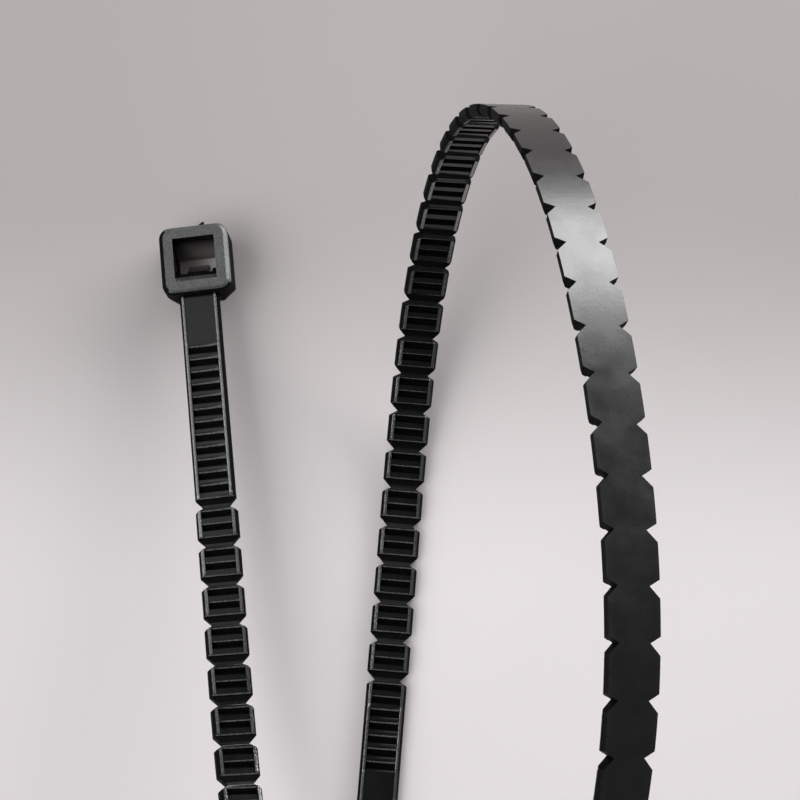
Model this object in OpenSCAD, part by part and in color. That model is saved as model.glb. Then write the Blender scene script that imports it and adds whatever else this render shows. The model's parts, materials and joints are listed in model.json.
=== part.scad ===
// Self-locking cable tie, open, lying as it comes to rest

/* [Strap] */
// Width of the strap across a bead
strap_width = 4.8; // [4:0.1:6]
// Thickness from the back to the top of the rails
strap_thickness = 1.25; // [1:0.05:1.6]
// Width of a rail on the top, beside the toothed channel
rail_width = 0.35; // [0.25:0.05:0.5]
// Width of the sloped edge outside each rail
edge_slope = 0.3; // [0.1:0.05:0.4]
// Drop from the rails to the floor of the channel
floor_drop = 0.15; // [0.1:0.05:0.3]
// Width of the solid ends as a share of a bead's width
solid_share = 0.97; // [0.9:0.01:1]

/* [Teeth] */
// Length of one tooth along the strap
tooth_pitch = 1.5; // [1.2:0.1:2]
// Share of a tooth that is a level land
land_share = 0.4; // [0.3:0.05:0.6]
// Depth of a tooth groove below the floor
groove_depth = 0.5; // [0.3:0.05:0.6]
// Teeth on one bead
bead_teeth = 3; // [2:1:4]
// Number of beads with a notch on each side between them
bead_count = 65; // [20:1:80]

/* [Notches] */
// Depth of a side notch
notch_depth = 0.95; // [0.4:0.05:1.2]
// Length of a notch towards the head, as a share of a tooth
notch_head_share = 0.64; // [0.4:0.02:0.9]
// Length of a notch towards the tail, as a share of a tooth
notch_tail_share = 0.36; // [0.2:0.02:0.5]

/* [Ends] */
// Length of the smooth neck below the head
neck_length = 6.2; // [4:0.1:12]
// Grooves in the solid part below the neck
head_grooves = 13; // [6:1:20]
// Grooves in the solid part above the tail
tail_grooves = 7; // [3:1:12]
// Length of the smooth tail after its last groove
tail_length = 34.1; // [20:0.1:60]
// Length of the taper at the tip
tip_length = 12; // [6:1:18]
// Width of the tip
tip_width = 2.6; // [2:0.1:3.5]
// Thickness of the tip
tip_thickness = 0.8; // [0.6:0.05:1]

/* [Head] */
// Width of the head
head_width = 8.1; // [7.6:0.1:10]
// Length of the head along the strap
head_length = 8.3; // [7.6:0.1:10]
// Depth of the head along the slot
head_depth = 4.95; // [4.4:0.05:6]
// Rise of the head's entry face above the rails
head_rise = 1.1; // [0.8:0.05:1.5]
// Radius of the head's corners
head_corner = 1.3; // [0.6:0.1:1.6]
// Size of the sloped edge round the head's two faces
head_edge = 0.5; // [0.2:0.05:0.6]
// Clearance of the slot beside the strap, on each side
slot_clearance = 0.05; // [0.05:0.05:0.3]
// Length of the slot below its ledge
slot_length = 4.3; // [4:0.1:4.8]
// Wall between the slot and the far end of the head
far_wall = 1.5; // [1.2:0.1:2]
// Length of the recessed ledge on the strap side of the slot
ledge_length = 1; // [0.5:0.05:1.1]
// Depth of the ledge below the entry face, at its deep end
ledge_depth = 0.6; // [0.4:0.05:0.8]
// Rise of the ledge from its deep end to its shallow end
ledge_slope = 0.35; // [0.1:0.05:0.35]
// Inward reach of the ramp on the slot's far wall
ramp_in = 1.2; // [0.8:0.05:1.4]
// Length along the head of the slope that leads each corner in to the strap, at the exit
cheek_length = 1.3; // [0.6:0.1:1.4]
// Width of that slope across the head, at the exit
cheek_width = 1.6; // [1:0.1:1.7]

/* [Pawl] */
// Width of the locking pawl
pawl_width = 2.4; // [1.8:0.1:3]
// Reach of the pawl into the slot
pawl_reach = 2; // [1.6:0.1:2.2]
// Thickness of the pawl's root down the slot wall
pawl_root = 1.2; // [1:0.1:1.5]
// Width of the shoulder in the slot's corner on each side of the pawl
shoulder_width = 0.7; // [0.4:0.05:0.8]
// Reach of those shoulders into the slot
shoulder_reach = 0.5; // [0.2:0.05:0.6]
// Length of the pawl's toothed end along the slot
pawl_teeth_length = 0.8; // [0.5:0.1:0.8]
// Depth of the notch between the pawl's two teeth
pawl_notch = 0.25; // [0.1:0.05:0.3]

/* [Gate] */
// Height of the moulding gate left on the far end
gate_height = 0.6; // [0.3:0.1:1]
// Width of the gate at its foot
gate_width = 0.8; // [0.5:0.1:1.4]
// Distance of the gate to one side of the middle
gate_offset = 0.9; // [0:0.1:2]
// Distance of the gate below the entry face
gate_drop = 1.3; // [1:0.1:3]

/* [Curl] */
// Bead number, bend per bead and twist per bead in degrees, read between rows
curl = [
  [0, 0.4, -3.4],
  [3, 0.6, -3.5],
  [6, 3.1, -3.4],
  [10, 6.7, -2.2],
  [14, 8.1, -0.3],
  [18, 7.6, 1.1],
  [22, 6.8, 1],
  [26, 6.4, -0.7],
  [30, 5.2, -2.3],
  [34, 3.6, -2.1],
  [38, 4.4, -1],
  [42, 5.8, 0],
  [46, 7.2, 0.5],
  [50, 8.5, 0.6],
  [54, 7.8, 0.7],
  [57, 5.8, 1.3],
  [60, 6.2, 1.7],
  [61.5, 0, 0],
  [65, 0, 0]
];
// Turns about X, Y and Z that lay the head end as it rests
lay = [6.04, 6.56, -174.4];

/* [Hidden] */
$fn = 48;
black = [0.05, 0.05, 0.05];
bead_length = bead_teeth * tooth_pitch;
land = land_share * tooth_pitch;
groove_length = tooth_pitch - land;
floor_height = strap_thickness - floor_drop;
channel_width = strap_width - 2 * rail_width - 2 * edge_slope;
solid_width = solid_share * strap_width;
solid_channel = channel_width - strap_width + solid_width;
neck_half = strap_width / 2 - notch_depth;
notch_to_head = notch_head_share * tooth_pitch;
notch_to_tail = notch_tail_share * tooth_pitch;
solid_length = neck_length + head_grooves * tooth_pitch - land / 2;
ladder_length = tail_grooves * tooth_pitch - land / 2;
end_length = ladder_length + tail_length;
slot_width = strap_width + 2 * slot_clearance;
entry = strap_thickness + head_rise;
exit = entry - head_depth;
joint_gap = 0.1;
web_inset = 0.06;
// Length of strap sunk in the head's wall, and of tongue sunk in the slot's wall
strap_seat = 0.9;
pawl_seat = 0.3;
// Length by which a cut runs past what it cuts
spare = 1;
middle = strap_thickness / 2;
bend_table = [for (row = curl) [row[0], row[1]]];
twist_table = [for (row = curl) [row[0], row[2]]];

function turn_x(a) = [[1, 0, 0], [0, cos(a), -sin(a)], [0, sin(a), cos(a)]];
function turn_y(a) = [[cos(a), 0, sin(a)], [0, 1, 0], [-sin(a), 0, cos(a)]];
function turn_z(a) = [[cos(a), -sin(a), 0], [sin(a), cos(a), 0], [0, 0, 1]];
function bend_at(k) = lookup(k + 0.5, bend_table);
function twist_at(k) = lookup(k + 0.5, twist_table);
function half_in(k) = turn_x(bend_at(k) / 2) * turn_y(twist_at(k) / 2);
function half_out(k) = turn_y(twist_at(k) / 2) * turn_x(bend_at(k) / 2);

start_frame = turn_z(lay[2]) * turn_y(lay[1]) * turn_x(lay[0]);
// Place of each joint along the strap, the frame halfway through its turn, and the frame after it
links = [
  for (
    k = 0,
    p = start_frame * [0, solid_length, 0],
    m = start_frame,
    f = start_frame * half_in(0);
    k <= bead_count;
    p = p + f * [0, bead_length, 0],
    m = f * half_out(k),
    f = m * (k + 1 < bead_count ? half_in(k + 1) : turn_x(0)),
    k = k + 1
  ) [p, f, m]
];
tail_link = links[bead_count];

// Points that can touch the ground or a side of the bounding box
function held(v, low, high) = min(max(v, low), high);
head_outline = [
  for (side = [-1, 1], near = [0, 1], a = [0:15:90])
    [
      side * (head_width / 2 - head_corner + head_corner * cos(a)),
      near == 1 ? -head_corner + head_corner * sin(a) : -head_length + head_corner - head_corner * sin(a)
    ]
];
entry_rim = [[entry - head_edge, 0], [entry, head_edge]];
exit_rim = [[exit, head_edge], [exit + head_edge, 0]];
// Two ends of the slope across a corner at one height, inset by a rim's slope
function cheek_ends(z, inset) =
  let (share = (entry - z) / head_depth)
    [
      [head_width / 2 - inset, cheek_length * (inset / cheek_width - share)],
      [head_width / 2 + cheek_width * (inset / cheek_length - share), -inset]
    ];
head_corners = concat(
  [
    for (q = head_outline, s = q[1] > -head_length / 2 ? entry_rim : concat(entry_rim, exit_rim))
      start_frame * [
        held(q[0], -head_width / 2 + s[1], head_width / 2 - s[1]),
        held(q[1], -head_length + s[1], -s[1]),
        s[0] - middle
      ]
  ],
  [
    for (side = [-1, 1], s = exit_rim, q = cheek_ends(s[0], s[1]))
      start_frame * [side * q[0], q[1], s[0] - middle]
  ]
);
bead_corners = [
  for (k = [0:bead_count - 1], x = [-strap_width / 2, strap_width / 2],
       y = [notch_to_tail, bead_length - notch_to_head])
    links[k][0] + links[k][1] * [x, y, -middle]
];
tail_corners = [
  for (q = [[solid_width / 2, notch_to_tail], [solid_width / 2, end_length - tip_length],
            [tip_width / 2, end_length - tip_width / 2], [tip_width / 4, end_length]],
       side = [-1, 1], z = [0, tip_thickness])
    tail_link[0] + tail_link[1] * [side * q[0], q[1], z - middle]
];
outer = concat(head_corners, bead_corners, tail_corners);
low = [for (i = [0:2]) min([for (c = outer) c[i]])];
high = [for (i = [0:2]) max([for (c = outer) c[i]])];
rest_shift = [-(low[0] + high[0]) / 2, -(low[1] + high[1]) / 2, -low[2]];

module place(p, f) {
  multmatrix([
    [f[0][0], f[0][1], f[0][2], p[0] + rest_shift[0]],
    [f[1][0], f[1][1], f[1][2], p[1] + rest_shift[1]],
    [f[2][0], f[2][1], f[2][2], p[2] + rest_shift[2]]
  ])
    translate([0, 0, -middle])
      children();
}

// A polygon drawn in Y and Z, extruded evenly about X
module side_prism(points, width) {
  rotate([90, 0, 90])
    translate([0, 0, -width / 2])
      linear_extrude(width)
        polygon(points);
}

// Cross section of the strap, extruded along Y
module strap_section(width, from, to) {
  half = width / 2;
  top = half - edge_slope;
  translate([0, to, 0])
    rotate([90, 0, 0])
      linear_extrude(to - from)
        polygon([
          [-half, 0],
          [half, 0],
          [half, strap_thickness * 0.55],
          [top, strap_thickness],
          [-top, strap_thickness],
          [-half, strap_thickness * 0.55]
        ]);
}

// Right side of a plan outline, stopping just short of a notch
function side_points(half, to, notch_start, from, notch_end) = concat(
  notch_start ? [[neck_half, from + joint_gap], [half, from + notch_to_tail]] : [[half, from]],
  notch_end ? [[half, to - notch_to_head], [neck_half, to - joint_gap]] : [[half, to]]
);

// Plan outline given by its right side, the same on the left
module even_plan(right) {
  left = [for (i = [len(right) - 1:-1:0]) [-right[i][0], right[i][1]]];
  translate([0, 0, -spare])
    linear_extrude(strap_thickness + 2 * spare)
      polygon(concat(right, left));
}

// Web that joins two beads inside the tips of a pair of notches
module web() {
  translate([-neck_half + web_inset, -land * 0.45, web_inset])
    cube([2 * neck_half - 2 * web_inset, land * 0.9, floor_height - 2 * web_inset]);
}

// Space above the floor with a row of grooves; each ramps down away from the head
function groove_points(count, first) = [
  for (i = [0:count - 1], q = [[0, 0], [0.66, 1], [0.86, 1], [1, 0]])
    [first + i * tooth_pitch + q[0] * groove_length, floor_height - q[1] * groove_depth]
];

module channel(count, first, from, to, width) {
  side_prism(
    concat(
      [[from, strap_thickness + spare], [from, floor_height]],
      groove_points(count, first),
      [[to, floor_height], [to, strap_thickness + spare]]
    ),
    width
  );
}

// Groove before a notch, cut through the rails as well, which leaves only the floor beyond it
module end_groove(first, to) {
  side_prism(
    concat(
      [[first, strap_thickness + spare]],
      groove_points(1, first),
      [[to, floor_height], [to, strap_thickness + spare]]
    ),
    strap_width + spare
  );
}

module bead() {
  difference() {
    intersection() {
      strap_section(strap_width, -spare, bead_length + spare);
      even_plan(side_points(strap_width / 2, bead_length, true, 0, true));
    }
    channel(bead_teeth, land / 2, -spare, bead_length + spare, channel_width);
    end_groove(land / 2 + (bead_teeth - 1) * tooth_pitch, bead_length + spare);
  }
}

module solid_ladder() {
  difference() {
    intersection() {
      strap_section(solid_width, -strap_seat - spare, solid_length + spare);
      even_plan(side_points(solid_width / 2, solid_length, false, -strap_seat, true));
    }
    channel(head_grooves, neck_length, -strap_seat - spare, solid_length + spare, solid_channel);
    end_groove(neck_length + (head_grooves - 1) * tooth_pitch, solid_length + spare);
  }
}

// Tail with its last grooves, a smooth channel, and a taper in width and thickness to a blunt tip
module tail() {
  taper = end_length - tip_length;
  half = tip_width / 2;
  difference() {
    intersection() {
      strap_section(solid_width, -spare, end_length + spare);
      even_plan([
        [neck_half, joint_gap],
        [solid_width / 2, notch_to_tail],
        [solid_width / 2, taper],
        [half, end_length - half],
        [half / 2, end_length]
      ]);
      side_prism(
        [
          [-spare, -spare],
          [end_length + spare, -spare],
          [end_length, tip_thickness],
          [taper, floor_height],
          [taper, strap_thickness + spare],
          [-spare, strap_thickness + spare]
        ],
        strap_width + spare
      );
    }
    channel(tail_grooves, land / 2, -spare, end_length + spare, solid_channel);
  }
}

// Rounded outline of the head seen along its slot
module head_plan() {
  reach = head_width / 2 - head_corner;
  union() {
    translate([-reach, -head_length])
      square([2 * reach, head_length]);
    translate([-head_width / 2, -head_length + head_corner])
      square([head_width, head_length - 2 * head_corner]);
    for (x = [-reach, reach], y = [-head_length + head_corner, -head_corner])
      translate([x, y])
        circle(head_corner);
  }
}

// Side view of the head with sloped edges at both faces
function edged(a, b) = [
  [a + head_edge, exit],
  [b - head_edge, exit],
  [b, exit + head_edge],
  [b, entry - head_edge],
  [b - head_edge, entry],
  [a + head_edge, entry],
  [a, entry - head_edge],
  [a, exit + head_edge]
];

module head_block() {
  intersection() {
    translate([0, 0, exit])
      linear_extrude(head_depth)
        head_plan();
    side_prism(edged(-head_length, 0), head_width + 2 * spare);
    translate([0, spare, 0])
      rotate([90, 0, 0])
        linear_extrude(head_length + 2 * spare)
          polygon(edged(-head_width / 2, head_width / 2));
  }
}

slot_far = -head_length + far_wall;
slot_near = slot_far + slot_length;
pawl_top = entry - head_depth * 0.2;
pawl_tip = entry - head_depth * 0.82;
ramp_foot = entry - head_depth * 0.75;

module slot_space() {
  side_prism(
    [
      [slot_far, entry + spare],
      [slot_far, pawl_top],
      [slot_far + ramp_in, ramp_foot],
      [slot_far + ramp_in, exit - spare],
      [slot_near, exit - spare],
      [slot_near, entry - ledge_depth],
      [slot_near + ledge_length, entry - ledge_depth + ledge_slope],
      [slot_near + ledge_length, entry + spare]
    ],
    slot_width
  );
}

// Tongue that springs back and catches the teeth of the strap
module pawl() {
  reach = slot_near - pawl_reach;
  foot = pawl_tip - pawl_teeth_length;
  side_prism(
    [
      [slot_near + pawl_seat, pawl_top],
      [slot_near, pawl_top],
      [reach, pawl_tip],
      [reach + pawl_notch, pawl_tip - pawl_teeth_length * 0.4],
      [reach + pawl_notch * 0.2, pawl_tip - pawl_teeth_length * 0.6],
      [reach + pawl_notch * 1.2, foot],
      [slot_near - pawl_reach * 0.55, foot],
      [slot_near - pawl_reach * 0.3, pawl_tip + pawl_root * 0.4],
      [slot_near + pawl_seat, pawl_top - pawl_root]
    ],
    pawl_width
  );
}

module gate_mark() {
  translate([-gate_offset, -head_length + pawl_seat, entry - gate_drop])
    rotate([90, 0, 0])
      cylinder(h = gate_height + pawl_seat, r1 = gate_width / 2, r2 = gate_width / 4);
}

// Half space outside the plane that slopes a corner of the head in towards the strap
module cheek_cut() {
  normal = [1 / cheek_width, 1 / cheek_length, -1 / head_depth];
  translate([head_width / 2, 0, entry])
    rotate([0, acos(normal[2] / norm(normal)), atan2(normal[1], normal[0])])
      translate([-head_width, -head_width, 0])
        cube(2 * head_width);
}

// Shoulders in the two corners beside the pawl
module shoulders() {
  foot = exit + head_edge;
  for (side = [-1, 1])
    translate([side * (slot_width - shoulder_width + pawl_seat) / 2, slot_near, foot])
      translate([-(shoulder_width + pawl_seat) / 2, -shoulder_reach, 0])
        cube([shoulder_width + pawl_seat, shoulder_reach + pawl_seat, pawl_top - foot]);
}

module head() {
  difference() {
    union() {
      head_block();
      gate_mark();
    }
    slot_space();
    cheek_cut();
    mirror([1, 0, 0])
      cheek_cut();
  }
  shoulders();
  pawl();
}

module cable_tie() {
  color(black)
    union() {
      place([0, 0, 0], start_frame) {
        head();
        solid_ladder();
      }
      for (k = [0:bead_count - 1])
        place(links[k][0], links[k][1])
          bead();
      for (joint = links)
        place(joint[0], joint[2])
          web();
      place(tail_link[0], tail_link[1])
        tail();
    }
}

cable_tie();
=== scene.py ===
"""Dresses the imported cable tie: a moulded strap and head in black nylon, lit as on a pale bench."""

import contextlib
import json
import logging
import math
from collections.abc import Callable, Iterator
from dataclasses import dataclass, field
from enum import Enum

import bpy
import numpy as np
from mathutils import Matrix, Vector

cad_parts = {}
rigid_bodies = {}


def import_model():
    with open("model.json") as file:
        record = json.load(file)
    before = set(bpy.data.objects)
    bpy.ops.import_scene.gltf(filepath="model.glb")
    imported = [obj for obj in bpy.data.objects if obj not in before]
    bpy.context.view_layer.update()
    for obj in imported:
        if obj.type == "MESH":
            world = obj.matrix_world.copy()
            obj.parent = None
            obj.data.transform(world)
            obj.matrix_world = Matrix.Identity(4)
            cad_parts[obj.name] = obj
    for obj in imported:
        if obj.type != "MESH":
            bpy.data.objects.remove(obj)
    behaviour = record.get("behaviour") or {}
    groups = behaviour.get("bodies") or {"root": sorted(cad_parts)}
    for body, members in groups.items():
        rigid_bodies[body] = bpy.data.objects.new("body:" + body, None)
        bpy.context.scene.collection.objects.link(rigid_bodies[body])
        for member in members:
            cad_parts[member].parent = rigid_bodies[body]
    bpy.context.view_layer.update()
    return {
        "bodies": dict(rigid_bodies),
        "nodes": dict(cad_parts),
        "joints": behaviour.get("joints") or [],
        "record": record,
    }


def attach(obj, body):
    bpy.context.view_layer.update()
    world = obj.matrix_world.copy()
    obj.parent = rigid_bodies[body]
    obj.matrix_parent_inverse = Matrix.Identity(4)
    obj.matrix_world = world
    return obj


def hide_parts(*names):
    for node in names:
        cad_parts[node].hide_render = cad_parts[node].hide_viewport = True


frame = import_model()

logging.basicConfig(level=logging.INFO, format="%(name)s: %(message)s")
log = logging.getLogger("cable_tie_scene")

MM = 0.001
Point = tuple[float, float, float]
Test = Callable[[Vector], bool]


class Region(Enum):
    """Parts of the moulding, each with its own finish, some with painted light or shade in it; the value is the
    material index.
    """

    SPARKED = 0
    RAIL = 1
    CHANNEL = 2
    RECESS_SHADE = 3
    LIT_LIP = 4
    SHADED_FLANK = 5
    BACK = 6
    SLOT_PAINTED_LIGHT = 7
    LIT_RIM = 8


class Side(Enum):
    """Which side of a cutting plane is thrown away."""

    NEITHER = 0
    BEFORE = 1
    AFTER = 2


def deselect_all() -> None:
    bpy.ops.object.select_all(action="DESELECT")


def make_active(piece: bpy.types.Object) -> None:
    """Select one object alone and make it the active one."""
    deselect_all()
    piece.select_set(True)
    bpy.context.view_layer.objects.active = piece


@contextlib.contextmanager
def editing(piece: bpy.types.Object, mode: str = "VERT") -> Iterator[bpy.types.Mesh]:
    """Hold a piece in edit mode with nothing selected.

    Args:
        piece: The mesh object to edit.
        mode: Selection mode, VERT, EDGE or FACE.

    Returns:
        An iterator over the piece's mesh data, for use in a with statement.
    """
    make_active(piece)
    bpy.ops.object.mode_set(mode="EDIT")
    bpy.ops.mesh.select_mode(type=mode)
    bpy.ops.mesh.select_all(action="DESELECT")
    bpy.ops.object.mode_set(mode="OBJECT")
    yield piece.data
    if piece.mode != "OBJECT":
        bpy.ops.object.mode_set(mode="OBJECT")


def pick_vertices(mesh: bpy.types.Mesh, test: Test) -> int:
    """Select the vertices whose place passes a test.

    Args:
        mesh: The mesh, in object mode.
        test: Takes a vertex's place.

    Returns:
        How many were selected.
    """
    count = 0
    for vertex in mesh.vertices:
        vertex.select = test(vertex.co)
        count += vertex.select
    return count


def pick_faces(mesh: bpy.types.Mesh, test: Callable[[bpy.types.MeshPolygon], bool]) -> int:
    """Select the faces that pass a test.

    Args:
        mesh: The mesh, in object mode.
        test: Takes a face.

    Returns:
        How many were selected.
    """
    count = 0
    for face in mesh.polygons:
        face.select = test(face)
        count += face.select
    return count


def pick_edges(mesh: bpy.types.Mesh, test: Callable[[Vector, Vector], bool]) -> int:
    """Select the edges whose two ends pass a test.

    Args:
        mesh: The mesh, in object mode.
        test: Takes the places of the two ends.

    Returns:
        How many were selected.
    """
    count = 0
    for edge in mesh.edges:
        first, second = (mesh.vertices[i].co for i in edge.vertices)
        edge.select = test(first, second)
        count += edge.select
    return count


def shift_vertices(piece: bpy.types.Object, test: Test, offset: Point) -> None:
    """Move the vertices that pass a test.

    Args:
        piece: The mesh object.
        test: Takes a vertex's place.
        offset: The move.
    """
    with editing(piece) as mesh:
        pick_vertices(mesh, test)
        bpy.ops.object.mode_set(mode="EDIT")
        bpy.ops.transform.translate(value=offset)


def stretch_vertices(piece: bpy.types.Object, test: Test, factors: Point, centre: Point) -> None:
    """Scale the vertices that pass a test about a point.

    Args:
        piece: The mesh object.
        test: Takes a vertex's place.
        factors: Scale along X, Y and Z.
        centre: The point that stays.
    """
    with editing(piece) as mesh:
        pick_vertices(mesh, test)
        bpy.ops.object.mode_set(mode="EDIT")
        bpy.ops.transform.resize(value=factors, center_override=centre)


def cut_across(
    piece: bpy.types.Object, place: Point, normal: Point, drop: Side = Side.NEITHER, fill: bool = False
) -> None:
    """Cut a piece with a plane, and throw away one side if asked.

    Args:
        piece: The mesh object.
        place: A point on the plane.
        normal: The plane's normal.
        drop: The side to throw away.
        fill: Whether the cut is closed with a face.
    """
    with editing(piece):
        bpy.ops.object.mode_set(mode="EDIT")
        bpy.ops.mesh.select_all(action="SELECT")
        bpy.ops.mesh.bisect(
            plane_co=place,
            plane_no=normal,
            use_fill=fill,
            clear_inner=drop is Side.BEFORE,
            clear_outer=drop is Side.AFTER,
            threshold=1e-5,
        )


def add_block(name: str, low: Point, high: Point) -> bpy.types.Object:
    """Add a block between two corners, with its place in its mesh.

    Args:
        name: The new object's name.
        low: Lowest corner.
        high: Highest corner.

    Returns:
        The new object.
    """
    deselect_all()
    size = [b - a for a, b in zip(low, high)]
    middle = [(a + b) / 2 for a, b in zip(low, high)]
    bpy.ops.mesh.primitive_cube_add(size=1, location=middle, scale=size)
    piece = bpy.context.active_object
    piece.name = name
    bpy.ops.object.transform_apply(location=True, rotation=True, scale=True)
    return piece


def apply_modifier(piece: bpy.types.Object, kind: str, **settings: object) -> None:
    """Add a modifier to a piece and apply it.

    Args:
        piece: The mesh object.
        kind: Blender's name for the modifier type.
        settings: Values to set on the modifier.
    """
    make_active(piece)
    modifier = piece.modifiers.new(kind.title(), kind)
    for key, value in settings.items():
        setattr(modifier, key, value)
    bpy.ops.object.modifier_apply(modifier=modifier.name)


def combine(piece: bpy.types.Object, tool: bpy.types.Object, operation: str) -> None:
    """Cut a tool from a piece, or weld it on, and remove the tool.

    Args:
        piece: The mesh object that stays.
        tool: The closed mesh object used on it.
        operation: DIFFERENCE or UNION.
    """
    apply_modifier(piece, "BOOLEAN", operation=operation, object=tool, solver="EXACT")
    bpy.data.objects.remove(tool, do_unlink=True)


def tidy_mesh(piece: bpy.types.Object, distance: float) -> None:
    """Merge doubled vertices and turn all faces outwards.

    Args:
        piece: The mesh object.
        distance: Vertices nearer than this become one.
    """
    with editing(piece):
        bpy.ops.object.mode_set(mode="EDIT")
        bpy.ops.mesh.select_all(action="SELECT")
        bpy.ops.mesh.remove_doubles(threshold=distance)
        bpy.ops.mesh.normals_make_consistent(inside=False)


def close_seams(piece: bpy.types.Object, distances: tuple[float, ...]) -> None:
    """Weld what is left open where pieces were joined, and fill the slits that stay.

    Args:
        piece: The joined piece.
        distances: Merging distances for the vertices on open edges, the smallest first.
    """
    make_active(piece)
    for distance in distances:
        bpy.ops.object.mode_set(mode="EDIT")
        bpy.ops.mesh.select_mode(type="VERT")
        bpy.ops.mesh.select_all(action="DESELECT")
        bpy.ops.mesh.select_non_manifold()
        bpy.ops.mesh.remove_doubles(threshold=distance)
        bpy.ops.object.mode_set(mode="OBJECT")
    known = len(piece.data.polygons)
    bpy.ops.object.mode_set(mode="EDIT")
    bpy.ops.mesh.select_all(action="SELECT")
    bpy.ops.mesh.fill_holes(sides=12)
    bpy.ops.object.mode_set(mode="OBJECT")
    # Filled slits get the same black finish with almost no reflection, painted shade.
    for face in piece.data.polygons[known:]:
        face.material_index = Region.SHADED_FLANK.value


def copy_along(piece: bpy.types.Object, step: float, count: int) -> list[bpy.types.Object]:
    """Copy a flat piece along the strap, each copy with its own mesh.

    Args:
        piece: The first piece.
        step: Distance between copies.
        count: Number of pieces in all.

    Returns:
        All the pieces, the first included.
    """
    pieces = [piece]
    for index in range(1, count):
        twin = piece.copy()
        twin.data = piece.data.copy()
        twin.name = f"{piece.name}_{index:02d}"
        bpy.context.collection.objects.link(twin)
        twin.data.transform(Matrix.Translation((0, index * step, 0)))
        pieces.append(twin)
    return pieces


def join_pieces(pieces: list[bpy.types.Object], name: str) -> bpy.types.Object:
    """Join several objects into the first.

    Args:
        pieces: The objects.
        name: Name of the joined object.

    Returns:
        The joined object.
    """
    deselect_all()
    for piece in pieces:
        piece.select_set(True)
    bpy.context.view_layer.objects.active = pieces[0]
    bpy.ops.object.join()
    pieces[0].name = name
    return pieces[0]


def add_finishes(piece: bpy.types.Object) -> None:
    """Put every nylon finish on a piece in the order of the regions, each built once."""
    piece.data.materials.clear()
    for region in Region:
        finish = FINISHES[region]
        piece.data.materials.append(bpy.data.materials.get(finish.name) or finish.build())


def turn(axis: str, degrees: float) -> np.ndarray:
    """Rotation matrix about one axis.

    Args:
        axis: X, Y or Z.
        degrees: The angle.

    Returns:
        A 3 by 3 array.
    """
    return np.array(Matrix.Rotation(math.radians(degrees), 3, axis))


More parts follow.
